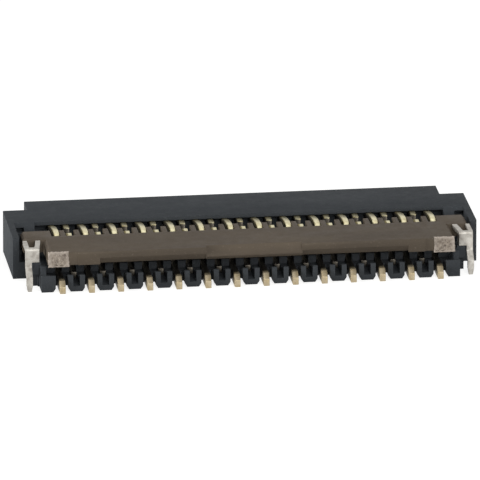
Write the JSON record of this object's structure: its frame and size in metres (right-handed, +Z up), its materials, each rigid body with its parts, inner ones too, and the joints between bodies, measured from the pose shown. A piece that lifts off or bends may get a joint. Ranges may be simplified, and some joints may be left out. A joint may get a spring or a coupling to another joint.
{
  "type": "fpc connector",
  "caption": "Low-profile board connector for a flexible printed circuit, with a hinged back-flip lever, staggered rows of gold-plated contacts and solder hold-downs.",
  "frame": {"origin": "middle of the footprint, on the board", "axes": "+X along the contact row, -Y towards the lever's free edge, +Y towards the mouth that the flexible circuit enters, +Z up from the board"},
  "size_m": [0.0096, 0.0038, 0.0009],
  "materials": {
    "housing": "moulded, matt",
    "lever": "moulded, matt",
    "contact": "gold plated",
    "hold_down": "matt tin plated"
  },
  "bodies": {
    "base": {"housing": "housing", "hold_down_left": "hold_down", "hold_down_right": "hold_down", "rear_contact_01": "contact", "rear_contact_02": "contact", "rear_contact_03": "contact", "rear_contact_04": "contact", "rear_contact_05": "contact", "rear_contact_06": "contact", "rear_contact_07": "contact", "rear_contact_08": "contact", "rear_contact_09": "contact", "rear_contact_10": "contact", "rear_contact_11": "contact", "rear_contact_12": "contact", "rear_contact_13": "contact", "rear_contact_14": "contact", "front_contact_01": "contact", "front_contact_02": "contact", "front_contact_03": "contact", "front_contact_04": "contact", "front_contact_05": "contact", "front_contact_06": "contact", "front_contact_07": "contact", "front_contact_08": "contact", "front_contact_09": "contact", "front_contact_10": "contact", "front_contact_11": "contact", "front_contact_12": "contact", "front_contact_13": "contact"},
    "lever": {"lever": "lever"}
  },
  "joints": [
    {"name": "lever_hinge", "type": "hinge", "parent": "base", "child": "lever", "pos_m": [0, -0.00035, 0.0006], "axis": [-1, 0, 0], "range_deg": [0, 95]}
  ]
}
